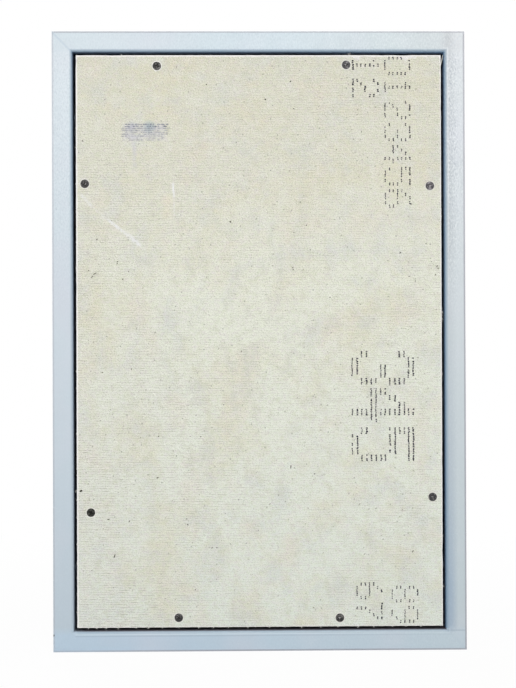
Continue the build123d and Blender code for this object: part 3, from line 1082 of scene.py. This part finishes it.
# Dark specks that stand out: place, length, width and lean in degrees
clearSpecks = [
    (6.5, 234, 1.7, 1.5, 0), (-50.5, 248.5, 1.4, 1.1, 0), (-170.5, 194, 1.6, 1.1, 0),
    (-173, -144.5, 3, 2.1, 20), (30, -122, 3.8, 1, 85), (46, 112, 1.8, 0.9, 30),
    (-146.5, -172, 2.6, 0.9, 10), (-141, -208, 2.8, 1.1, 65), (33, 69, 1.7, 0.8, 50),
    (-98, -92, 1.3, 1, 0), (137, 85, 2.4, 0.9, 40), (-42, -200, 2, 0.8, 0), (53, -129, 1.6, 1, 60),
    (31, 251.5, 2.4, 1, 45), (-27.5, 115, 1.7, 0.8, 20), (-126.5, -174, 2.2, 0.8, 60),
    (-70, -177.5, 1.9, 1, -40), (-137, 77, 1.7, 0.9, 0), (34, 225, 1.8, 0.9, -45),
    (75, 185, 1.5, 0.7, 30),
]

# Softer grey ones
greySpecks = [
    (-140.5, -206.5, 2, 0.9, 60), (-99, -132, 2.2, 1.4, 20), (-57, -92.5, 1.6, 1, 50),
    (-46.5, -200, 2.2, 0.9, 40), (-71, -172, 1.6, 1, 0), (9.5, -158, 1.8, 0.9, 50),
    (148, -204.5, 2.8, 1, 50), (65.5, -62.5, 1.6, 0.9, 30), (-17.5, -10, 2, 0.9, 60),
    (-124, -27, 2.2, 0.8, 80), (-152, -30, 1.6, 1, 20), (51.5, -258.5, 1.6, 0.9, 40),
    (-63, -240.5, 1.8, 0.8, 50), (-28, 115.7, 1.8, 1.2, 30), (32.5, 71, 2, 1, 40),
    (49.5, 88, 1.6, 0.9, 50), (-157, 98.5, 1.8, 1.1, 60), (-137.5, 75, 1.6, 0.9, 40),
    (-126.5, 67.5, 1.8, 0.8, -50), (-132, 60, 1.6, 1, 30), (-165, 68.5, 1.4, 1, 20),
    (-159, 65.5, 4.2, 0.8, 32), (-161.5, 62.5, 3.2, 0.7, 36), (172.6, 71.8, 2.4, 0.9, 60),
    (173.8, 69.8, 1.8, 0.9, 10), (171, 63.5, 1.8, 0.9, 30), (145.5, 62, 2, 0.8, 20),
    (151.5, 57.5, 1.5, 0.9, 70), (167, 76.5, 1.6, 0.7, -40), (162, 94, 1.5, 0.8, 40),
    (166, 93.2, 1.6, 0.8, 50), (68.5, 41.8, 1.6, 0.9, 30),
]


# Small pale fibres all over the board, most of them leaning one way
def strayFibres(count, seed):
    draw = random.Random(seed)
    marks = []
    for _ in range(count):
        spot = (draw.uniform(-172, 172), draw.uniform(-272, 272))
        marks.append((*spot, draw.uniform(0.7, 2.2), draw.uniform(0.35, 0.7), draw.gauss(42, 28)))
    return marks


def makeSpecks(name, marks, material):
    rows = [
        (x * mm, z * mm, length * mm, width * mm, -math.radians(lean))
        for x, z, length, width, lean in marks
        if not nearScrew(x * mm, z * mm, 7 * mm)
    ]
    scatter(name, rows, smearThick, material)


makePrint()
for name, layer in smudge["layers"].items():
    makeSmudge(name, *layer)
makeSpecks("darkSpecks", clearSpecks, darkFleck)
makeSpecks("greySpecks", greySpecks, greyFleck)
makeSpecks("strayFibres", strayFibres(420, 21), paleFleck)
print("ink and specks printed")

# Scratches on the board's face: start, end, greatest width and bow, in millimetres
scratches = [
    (-145.8, 117.2, -140.5, 113.2, 0.9, 0.1),
    (-142, 113, -133.5, 106.6, 0.8, 0.2),
    (-138, 112.2, -133, 108.6, 0.5, -0.1),
    (-128.6, 103.8, -125.6, 101.6, 0.9, 0),
    (-124.5, 101.2, -119, 96.8, 0.8, 0.2),
    (-121, 99.2, -117.2, 95, 0.5, 0),
    (-118.4, 94.6, -113.6, 91.4, 0.7, -0.1),
    (-83.4, 154.2, -82.7, 144.5, 1, 0.2),
    (-82.6, 143.6, -82.4, 139, 0.6, 0),
]


def makeScratches():
    points, faces = [], []
    for number, (startX, startZ, endX, endZ, widest, bow) in enumerate(scratches):
        start, end = Vector((startX, startZ)), Vector((endX, endZ))
        along = (end - start).normalized()
        side = Vector((-along.y, along.x))
        count = max(8, int((end - start).length / 1.2))
        rings = []
        for i in range(count + 1):
            share = i / count
            middle = start.lerp(end, share) + side * bow * math.sin(math.pi * share)
            middle += side * 0.25 * noise.noise(Vector((share * 9, number * 4, 0)))
            uneven = 0.55 + 0.45 * noise.noise(Vector((share * 14, number, 3)))
            width = max(widest * math.sin(math.pi * share) ** 0.6 * uneven, 0.06)
            ring = []
            for offset, depth in ((-0.5, 0), (0, -0.03), (0.5, 0), (0, 0.03)):
                spot = middle + side * width * offset
                ring.append((spot.x * mm, inkDepth + depth * mm, spot.y * mm))
            rings.append(ring)
        addTube(points, faces, rings)
    attach(addPiece("scratchMarks", points, faces, scrapedWhite), "door", "fibre_board")


# Torn paper fibres that stand out of the board's edge into the gap: place and length
edgeFibres = [
    (-132.5, 277.5, 1.6), (88, 278.2, 2), (-177.3, 188, 1.3), (-177.4, 71, 1.2),
    (-177.5, -29, 1.2), (-177.6, -144.5, 1.8), (177.6, -32.5, 1.4), (177.8, -238.5, 1.3),
    (176.9, 31, 1.7), (177.1, 27.5, 2.2), (177, 24, 1.9), (177.2, 20.5, 2.3), (177, 18, 1.5),
    (-158, -277.8, 1.1), (-137.5, -277.8, 1.2), (-94.8, -277.8, 1.1), (-78.8, -277.8, 0.9),
    (-31, -277.8, 0.9), (24, -277.8, 0.8), (75, -277.8, 1), (94.5, -277.8, 1.3),
    (155.5, -277.8, 1.2), (128, -277.8, 0.8), (-177.5, 206.5, 0.9), (-177.5, 152.3, 1.1),
    (-177.5, 96, 0.8), (-177.5, 12, 0.8), (-177.5, -45, 0.8), (-177.5, -58.5, 0.9),
    (-177.5, -89.4, 1.1), (-177.5, -123.2, 1), (-177.5, -153.1, 1), (-177.5, -170.5, 0.9),
    (-177.5, -214, 0.9), (-177.5, -261.3, 1.3), (177.5, -98, 0.8), (177.5, -190, 0.9),
    (177.5, 120, 0.8), (-166, -277.7, 1), (-149, -277.7, 1.3), (-120, -277.7, 1),
    (-108.5, -277.7, 1.2), (-60, -277.7, 1.3), (-45.5, -277.7, 1), (-12, -277.7, 1.1),
    (8.5, -277.7, 1), (40, -277.7, 1.2), (58.5, -277.7, 1), (110, -277.7, 1.1),
    (141, -277.7, 1), (-177.5, -228, 1.1), (-177.5, -243.5, 1), (-177.5, -196, 1.1),
]

# A torn sliver of the face paper that crosses the gap at the upper right: place and half width
sliver = [(176.3, 265, 0.1), (177.2, 268.6, 0.34), (178.2, 272.8, 0.38), (179.1, 276.9, 0.22)]


# Each place has a tuft of fibres that lean apart and grow thinner towards their ends
tufts = {"seed": 5, "fibres": 7, "root": 0.9, "lean": 0.9, "stretch": 1.3, "taper": 0.75}


def makeFibres():
    s, front = tufts, boardSheet["front"]
    draw = random.Random(s["seed"])
    points, faces = [], []
    for x, z, size in edgeFibres:
        outward = Vector((math.copysign(1, x), 0)) if abs(x) > 176 else Vector((0, math.copysign(1, z)))
        side = Vector((-outward.y, outward.x))
        for _ in range(s["fibres"]):
            lean = draw.uniform(-s["lean"], s["lean"])
            reach = size * draw.uniform(0.5, 1)
            foot = Vector((x, z)) - outward * s["root"] + side * draw.uniform(-0.5, 0.5) * size
            thick = draw.uniform(0.1, 0.24)
            depth = front / mm + draw.uniform(0.1, 0.6)
            rings = []
            for step in range(4):
                share = step / 3
                spot = foot + outward * reach * share * s["stretch"] + side * lean * share ** 2
                girth = thick * (1 - s["taper"] * share)
                ring = []
                for angle in (0, 2 * math.pi / 3, 4 * math.pi / 3):
                    offset = side * girth * math.cos(angle)
                    y = depth + girth * math.sin(angle)
                    ring.append(((spot.x + offset.x) * mm, y * mm, (spot.y + offset.y) * mm))
                rings.append(ring)
            addTube(points, faces, rings)
    rings = []
    for x, z, half in sliver:
        diamond = ((-half, 0), (0, -0.1), (half, 0), (0, 0.06))
        rings.append([((x + dx) * mm, front + (0.16 + dy) * mm, z * mm) for dx, dy in diamond])
    addTube(points, faces, rings)
    attach(addPiece("edgeFibres", points, faces, chalkWhite, smooth=True), "door", "fibre_board")


makeScratches()
makeFibres()
print("scratches and edge fibres made")


# Steel, plastic and foam pieces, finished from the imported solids

mitreOffset = outerHalfHeight - outerHalfWidth


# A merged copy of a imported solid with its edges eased, as paint or a mould leaves them
def softenedCopy(node, edge, material):
    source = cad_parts[node].data
    points = [vertex.co for vertex in source.vertices]
    faces = [face.vertices[:] for face in source.polygons]
    piece = addPiece(node + "_finished", points, faces, material, turnOut=False)
    work = bmesh.new()
    work.from_mesh(piece.data)
    bmesh.ops.remove_doubles(work, verts=work.verts, dist=0.002 * mm)
    bmesh.ops.dissolve_limit(work, angle_limit=math.radians(0.5), verts=work.verts, edges=work.edges)
    weights = work.edges.layers.float.new("bevel_weight_edge")
    for side in work.edges:
        onMitre = all(abs(abs(v.co.z) - abs(v.co.x) - mitreOffset) < 0.02 * mm for v in side.verts)
        turned = len(side.link_faces) == 2 and side.calc_face_angle() > math.radians(35)
        side[weights] = 1 if turned and not onMitre else 0
    work.to_mesh(piece.data)
    work.free()
    ease = piece.modifiers.new("eased", "BEVEL")
    ease.width = edge
    ease.segments = 2
    ease.limit_method = "WEIGHT"
    ease.use_clamp_overlap = True
    settleModifiers(piece)
    piece.data.shade_smooth()
    piece.data.set_sharp_from_angle(angle=math.radians(38))
    return piece


railSides = ("top", "bottom", "left", "right")
padPlaces = [f"{side}_{height}" for side in ("left", "right") for height in ("upper", "lower")]
latches = (1, 2, 3, 4)
finishes = [
    ("frame", "frame_paint", powderCoat, 0.3 * mm, [f"frame_{side}_rail" for side in railSides]),
    ("door", "frame_paint", powderCoat, 0.2 * mm, [f"door_rail_{side}" for side in railSides]),
    ("frame", "pad_nylon", nylonBlack, 0.45 * mm, ["support_pad_left", "support_pad_right"]),
    ("frame", "pad_nylon", nylonBlack, 0.45 * mm, [f"side_pad_{place}" for place in padPlaces]),
    ("frame", "latch_housing_plastic", housingPlastic, 0.35 * mm, [f"latch_housing_{n}" for n in latches]),
    ("frame", "spring_steel", springSteel, 0.12 * mm, ["latch_pins"]),
]
for number in latches:
    body = f"plunger_{number}"
    finishes.append((body, "plunger_nylon", plungerNylon, 0.25 * mm, [f"latch_plunger_{number}"]))
    finishes.append((body, "magnet_nickel", magnetNickel, 0.25 * mm, [f"latch_magnet_{number}"]))
for body, slotName, material, edge, nodes in finishes:
    for node in nodes:
        attach(softenedCopy(node, edge, material), body, slotName, node)
print("rails, pads and latches finished")


# Foam buffer strips: cut foam, a little uneven, mitred at the corners

foam = {"edgeRound": 0.5 * mm, "step": 3 * mm, "mitreGap": 0.05 * mm, "dip": 0.14 * mm, "press": 0.12 * mm}


def makeStrip(side, number):
    s = foam
    low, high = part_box(f"buffer_strip_{side}")
    lengthwise = 0 if side in ("top", "bottom") else 2
    crosswise = 2 - lengthwise
    outwardSign = 1 if side in ("top", "right") else -1
    half = high[lengthwise]
    inner, outer = sorted((abs(low[crosswise]), abs(high[crosswise])))
    width, thick = outer - inner, high.y - low.y
    outline = []
    for cx, cy, start in ((1, 1, 0), (-1, 1, 90), (-1, -1, 180), (1, -1, 270)):
        for k in range(4):
            angle = math.radians(start + 30 * k)
            px = cx * (width / 2 - s["edgeRound"]) + s["edgeRound"] * math.cos(angle)
            py = cy * (thick / 2 - s["edgeRound"]) + s["edgeRound"] * math.sin(angle)
            outline.append((px, py))
    count = int(2 * half / s["step"])
    rings = []
    for i in range(count + 1):
        ring = []
        for px, py in outline:
            reach = (inner + outer) / 2 + px
            # the ends meet the next strip on the corner's diagonal
            limit = half - (outer - reach) - s["mitreGap"]
            along = -limit + 2 * limit * i / count
            dip = abs(noise.noise(Vector((along * 140, number * 5, py * 900))) * s["dip"])
            press = 0.5 + 0.5 * noise.noise(Vector((along * 25, number * 9, 0)))
            pressed = s["press"] * press + dip if py < 0 else 0
            spot = [0, (low.y + high.y) / 2 + py + pressed, 0]
            spot[lengthwise] = along
            spot[crosswise] = outwardSign * (reach - dip * (1 if px > 0 else -1) * 0.6)
            ring.append(tuple(spot))
        rings.append(ring)
    points, faces = [], []
    addTube(points, faces, rings)
    piece = addPiece(f"foamStrip_{side}", points, faces, foamBlack, smooth=True)
    piece.data.set_sharp_from_angle(angle=math.radians(50))
    attach(piece, "frame", "buffer_foam", f"buffer_strip_{side}")


for number, side in enumerate(railSides):
    makeStrip(side, number)

coils = {"radius": 3.4 * mm, "turns": 3.0, "wire": 0.42 * mm}


def makeSprings():
    s = coils
    low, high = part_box("latch_springs")
    reachX = high.x - s["radius"] - s["wire"]
    reachZ = high.z - s["radius"] - s["wire"]
    places = [(across * reachX, low.y + s["wire"], up * reachZ) for up in (1, -1) for across in (-1, 1)]
    piece = growPiece("coilSprings", coilSprings, {
        "Radius": s["radius"],
        "Length": high.y - low.y - 2 * s["wire"],
        "Turns": s["turns"],
        "Wire": s["wire"],
        "Material": springSteel,
    }, pointMesh("coilSprings", places))
    piece.data.shade_smooth()
    attach(piece, "frame", "spring_steel", "latch_springs")
    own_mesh(piece)


makeSprings()
print("strips and springs made")


# Floor, backdrop light, lamps and camera

studio = {
    "floorHeight": -outerHalfHeight,
    "floorSize": 6,
    "ambient": 0.42,
    "lamps": [
        ("softKey", (0.45, -2, 0.85), 1.3, 20),
        ("softFill", (-1.5, -1.5, 0.2), 1.2, 7),
        ("backLight", (-0.6, 1.9, 1.2), 1.2, 18),
    ],
}


# One where the camera, a mirror or glass sees the surface, and nought for light that bounces
def seenDirectly(tree):
    path = addNode(tree, "ShaderNodeLightPath")
    return largest(path["Is Camera Ray"], path["Is Glossy Ray"], path["Is Transmission Ray"])


# Shows the second shader to this share and the first one to the rest
def closeMix(tree, share, first, second, end):
    both = addNode(tree, "ShaderNodeMixShader", {0: share, 1: first[0], 2: second[0]})
    addNode(tree, end, {"Surface": both[0]})


def makeFloor():
    material = bpy.data.materials.new("paleFloor")
    material.use_nodes = True
    tree = material.node_tree
    tree.nodes.clear()
    plain = addNode(tree, "ShaderNodeBsdfDiffuse", {"Color": shade(240, 240, 240)})
    white = addNode(tree, "ShaderNodeEmission", {"Color": (1, 1, 1, 1), "Strength": 1})
    # the floor's shadow thins out away from the part, so that no horizon shows
    place = addNode(tree, "ShaderNodeTexCoord")["Object"]
    away = addNode(tree, "ShaderNodeVectorMath", {0: place}, operation="LENGTH")["Value"]
    share = times(seenDirectly(tree), fade(away, 0.45, 1.1, 0.965, 1))
    closeMix(tree, share, plain, white, "ShaderNodeOutputMaterial")
    half, z = studio["floorSize"] / 2, studio["floorHeight"]
    points = [(-half, -half, z), (half, -half, z), (half, half, z), (-half, half, z)]
    addPiece("floor", points, [(0, 1, 2, 3)], material, turnOut=False)


def makeLight():
    world = bpy.data.worlds.new("studioWorld")
    scene.world = world
    world.use_nodes = True
    tree = world.node_tree
    tree.nodes.clear()
    soft, bright = (
        addNode(tree, "ShaderNodeBackground", {"Color": (1, 1, 1, 1), "Strength": strength})
        for strength in (studio["ambient"], 1)
    )
    closeMix(tree, seenDirectly(tree), soft, bright, "ShaderNodeOutputWorld")
    for name, place, size, power in studio["lamps"]:
        light = bpy.data.lights.new(name, "AREA")
        light.shape = "DISK"
        light.size = size
        light.energy = power
        lamp = bpy.data.objects.new(name, light)
        scene.collection.objects.link(lamp)
        lamp.location = place
        lamp.rotation_euler = (-Vector(place)).to_track_quat("-Z", "Y").to_euler()


cameraSetup = {
    "place": (-0.0292, -1.5744, -0.0107),
    "yaw": -1.011,
    "pitch": 0.279,
    "roll": -0.205,
    "lens": 85,
}


def makeCamera():
    s = cameraSetup
    lens = bpy.data.cameras.new("viewCamera")
    lens.lens = s["lens"]
    lens.sensor_width = 36
    lens.clip_start = 0.01
    camera = bpy.data.objects.new("viewCamera", lens)
    scene.collection.objects.link(camera)
    turn = Matrix.Translation(s["place"])
    for angle, axis in ((s["yaw"], "Z"), (90 + s["pitch"], "X"), (s["roll"], "Z")):
        turn = turn @ Matrix.Rotation(math.radians(angle), 4, axis)
    camera.matrix_world = turn
    scene.camera = camera


makeFloor()
makeLight()
makeCamera()
scene.view_settings.view_transform = "Standard"
print("studio set")
